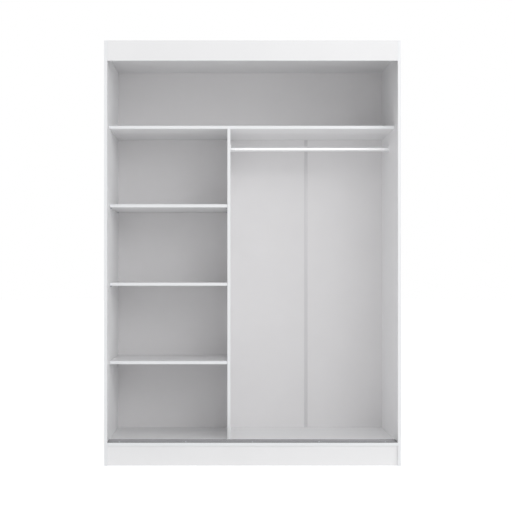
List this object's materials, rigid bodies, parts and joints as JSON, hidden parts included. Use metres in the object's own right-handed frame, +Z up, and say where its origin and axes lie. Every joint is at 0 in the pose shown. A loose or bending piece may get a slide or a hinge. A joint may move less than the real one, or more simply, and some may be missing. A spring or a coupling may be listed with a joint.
{
  "type": "sliding door wardrobe carcass",
  "caption": "White wardrobe carcass for sliding doors, doors off: pelmet and plinth, top compartment, column of loose shelves, hanging space with a lift-out rail, double door tracks.",
  "frame": {"origin": "on the floor, in the middle of the footprint", "axes": "+Z up from the floor, +X to the right as seen from the front, -Y towards the front, +Y towards the wall"},
  "size_m": [1.5, 0.6, 2.15],
  "materials": {
    "white_board": "chipboard 16 mm faced in white melamine, front edges banded in white ABS, satin",
    "white_back_sheet": "hardboard 3 mm, lacquered white on the inside, bare brown on the wall side",
    "white_joiner": "extruded white PVC",
    "track_aluminium": "extruded, anodised silver, satin",
    "rail_chrome": "drawn steel tube, bright chromed",
    "socket_zinc": "die-cast zinc, chromed",
    "zinc_steel": "steel, bright zinc plated",
    "dowel_beech": "fluted beech, unfinished",
    "white_plastic": "moulded white polypropylene",
    "black_plastic": "moulded black polyamide",
    "stop_rubber": "black rubber"
  },
  "bodies": {
    "carcass": {"left_side": "white_board", "right_side": "white_board", "bottom_panel": "white_board", "top_panel": "white_board", "full_width_shelf": "white_board", "divider": "white_board", "pelmet": "white_board", "front_plinth": "white_board", "rear_plinth": "white_board", "plinth_brace": "white_board", "lower_shelf_pins": "zinc_steel", "middle_shelf_pins": "zinc_steel", "upper_shelf_pins": "zinc_steel", "back_top": "white_back_sheet", "back_left": "white_back_sheet", "back_middle": "white_back_sheet", "back_right": "white_back_sheet", "back_joiner": "white_joiner", "back_nails": "zinc_steel", "cam_locks": "zinc_steel", "cam_bolts": "zinc_steel", "side_dowels": "dowel_beech", "plinth_dowels": "dowel_beech", "pelmet_dowels": "dowel_beech", "divider_screws": "zinc_steel", "divider_screw_caps": "white_plastic", "plinth_blocks": "white_plastic", "plinth_block_screws": "zinc_steel", "pelmet_blocks": "white_plastic", "pelmet_block_screws": "zinc_steel", "lower_track": "track_aluminium", "lower_track_screws": "zinc_steel", "upper_track": "track_aluminium", "upper_track_screws": "zinc_steel", "upper_track_stops": "stop_rubber", "left_rail_socket": "socket_zinc", "right_rail_socket": "socket_zinc", "rail_socket_screws": "zinc_steel", "foot_brackets": "black_plastic", "foot_bracket_screws": "zinc_steel", "foot_hole_caps": "white_plastic", "wall_brackets": "zinc_steel", "wall_bracket_screws": "zinc_steel"},
    "lower_shelf": {"lower_shelf": "white_board"},
    "middle_shelf": {"middle_shelf": "white_board"},
    "upper_shelf": {"upper_shelf": "white_board"},
    "hanging_rail": {"hanging_rail": "rail_chrome"},
    "foot_front_left": {"foot_front_left": "black_plastic"},
    "foot_front_middle": {"foot_front_middle": "black_plastic"},
    "foot_front_right": {"foot_front_right": "black_plastic"},
    "foot_rear_left": {"foot_rear_left": "black_plastic"},
    "foot_rear_middle": {"foot_rear_middle": "black_plastic"},
    "foot_rear_right": {"foot_rear_right": "black_plastic"}
  },
  "joints": [
    {"name": "lower_shelf_slide", "type": "slide", "parent": "carcass", "child": "lower_shelf", "axis": [0, -1, 0], "range_m": [0, 0.6]},
    {"name": "middle_shelf_slide", "type": "slide", "parent": "carcass", "child": "middle_shelf", "axis": [0, -1, 0], "range_m": [0, 0.6]},
    {"name": "upper_shelf_slide", "type": "slide", "parent": "carcass", "child": "upper_shelf", "axis": [0, -1, 0], "range_m": [0, 0.6]},
    {"name": "rail_lift", "type": "slide", "parent": "carcass", "child": "hanging_rail", "axis": [0, 0, 1], "range_m": [0, 0.05]},
    {"name": "foot_front_left_screw", "type": "slide", "parent": "carcass", "child": "foot_front_left", "axis": [0, 0, -1], "range_m": [0, 0.012]},
    {"name": "foot_front_middle_screw", "type": "slide", "parent": "carcass", "child": "foot_front_middle", "axis": [0, 0, -1], "range_m": [0, 0.012]},
    {"name": "foot_front_right_screw", "type": "slide", "parent": "carcass", "child": "foot_front_right", "axis": [0, 0, -1], "range_m": [0, 0.012]},
    {"name": "foot_rear_left_screw", "type": "slide", "parent": "carcass", "child": "foot_rear_left", "axis": [0, 0, -1], "range_m": [0, 0.012]},
    {"name": "foot_rear_middle_screw", "type": "slide", "parent": "carcass", "child": "foot_rear_middle", "axis": [0, 0, -1], "range_m": [0, 0.012]},
    {"name": "foot_rear_right_screw", "type": "slide", "parent": "carcass", "child": "foot_rear_right", "axis": [0, 0, -1], "range_m": [0, 0.012]}
  ]
}
